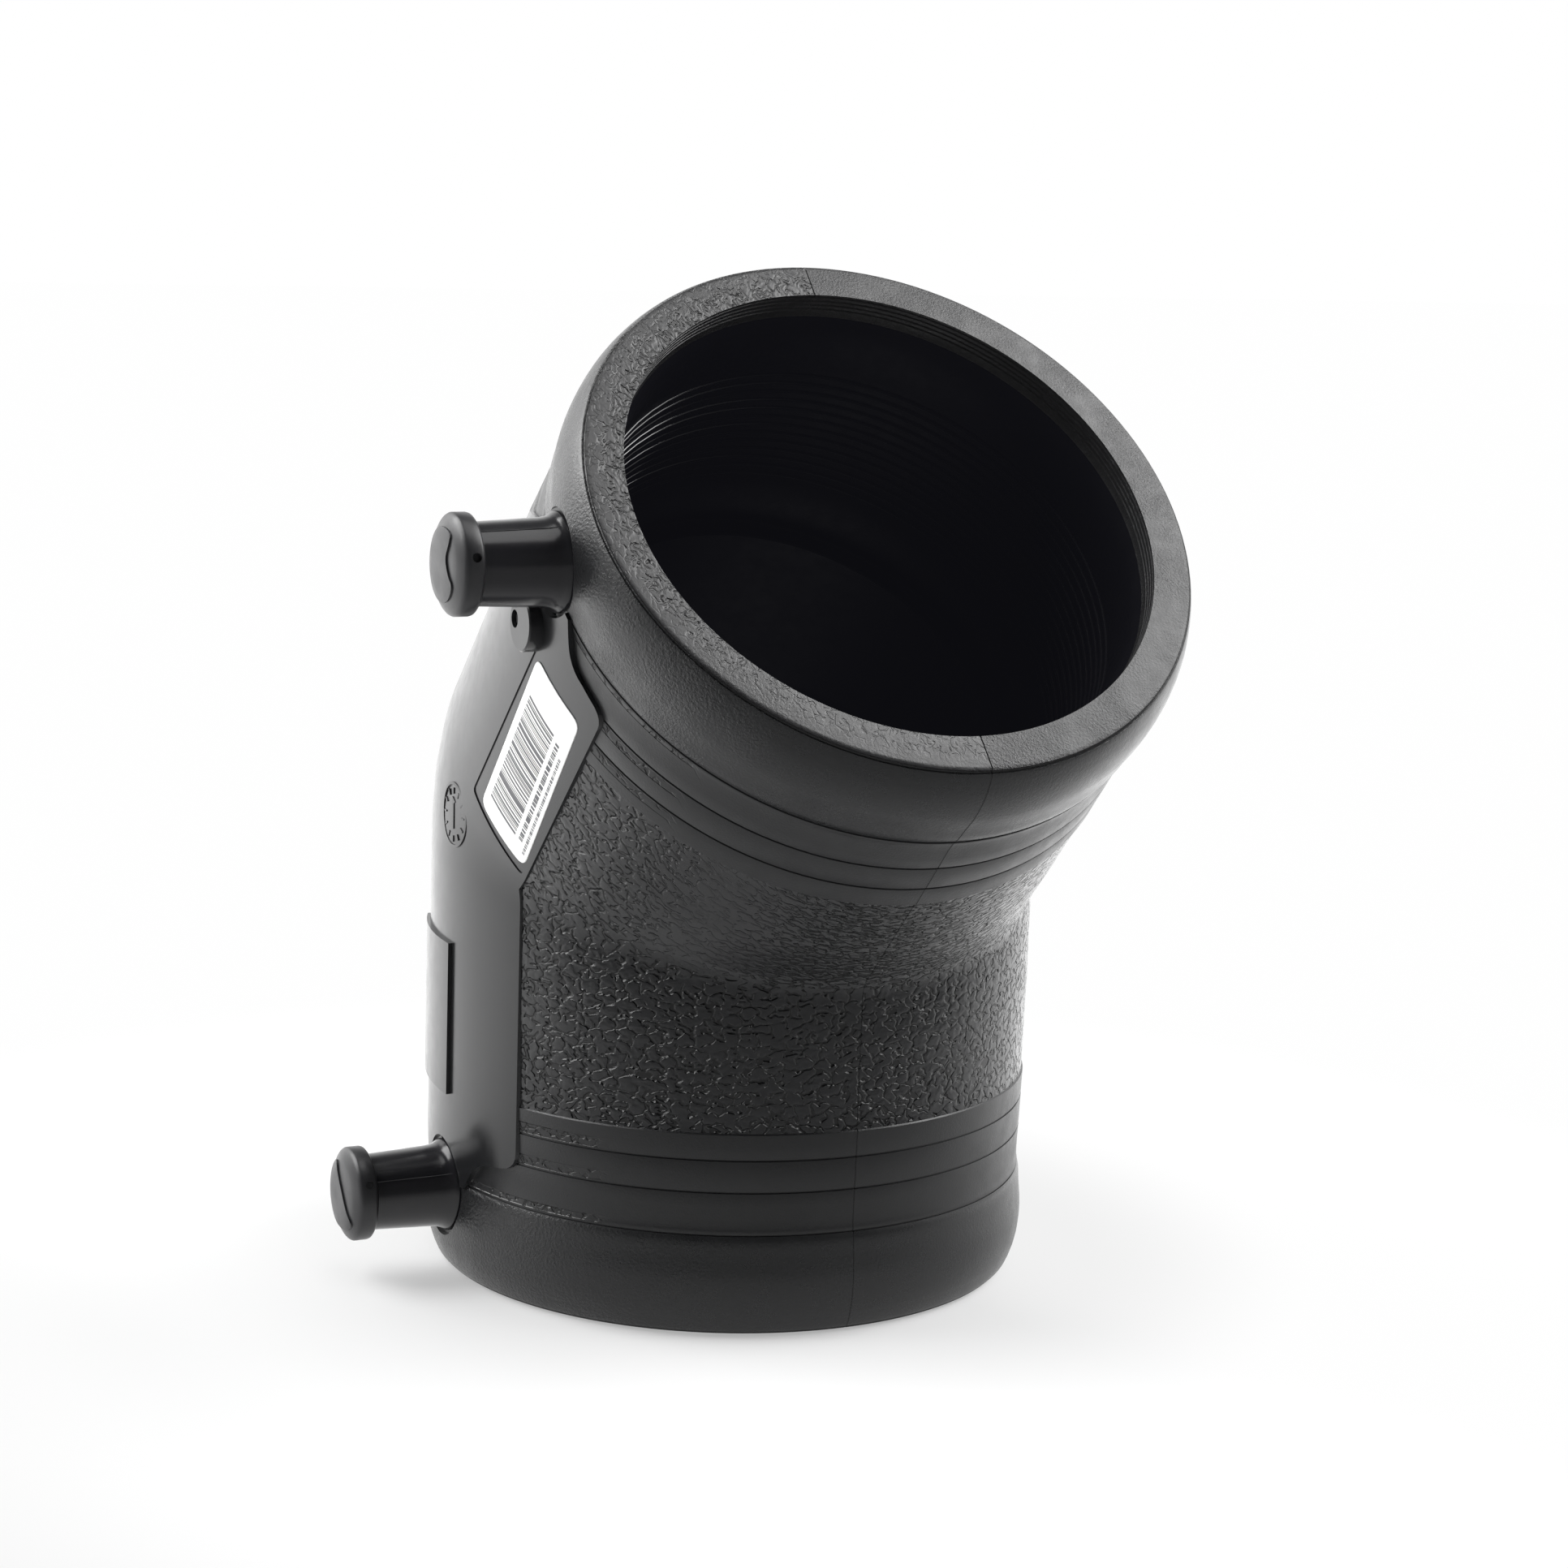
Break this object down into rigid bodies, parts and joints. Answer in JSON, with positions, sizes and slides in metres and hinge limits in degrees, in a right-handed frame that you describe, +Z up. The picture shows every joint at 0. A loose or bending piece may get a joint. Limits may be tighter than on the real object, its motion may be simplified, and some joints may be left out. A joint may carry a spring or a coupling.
{
  "type": "electrofusion elbow",
  "caption": "Black plastic electrofusion elbow: a 45 degree bend whose wire-wound sockets weld onto pressure pipe, with capped side terminals and a sticker.",
  "frame": {"origin": "middle of the part's footprint box, on the plane that the lower end face stands on", "axes": "+Z up along the lower socket, +X towards the crotch side that the upper socket leans to, -Y towards the terminals"},
  "size_m": [0.1508, 0.1286, 0.1796],
  "materials": {
    "body": "satin black polyethylene, leather grain between smooth collars, smooth marking pad",
    "wire": "thin resistance wire under a glossy skin of black polyethylene",
    "indicator": "matt black polyethylene",
    "label": null,
    "pin": "turned contact pin",
    "shroud": "glossy black moulding with a fine parting line",
    "cap": "satin black moulding"
  },
  "bodies": {
    "root": {"body": "body", "heating_coil": "wire", "fusion_indicator": "indicator", "barcode_label": "label", "terminal_pin_lower": "pin", "terminal_pin_upper": "pin", "terminal_shroud_lower": "shroud", "terminal_shroud_upper": "shroud", "terminal_cap_lower": "cap", "terminal_cap_upper": "cap"}
  },
  "joints": []
}
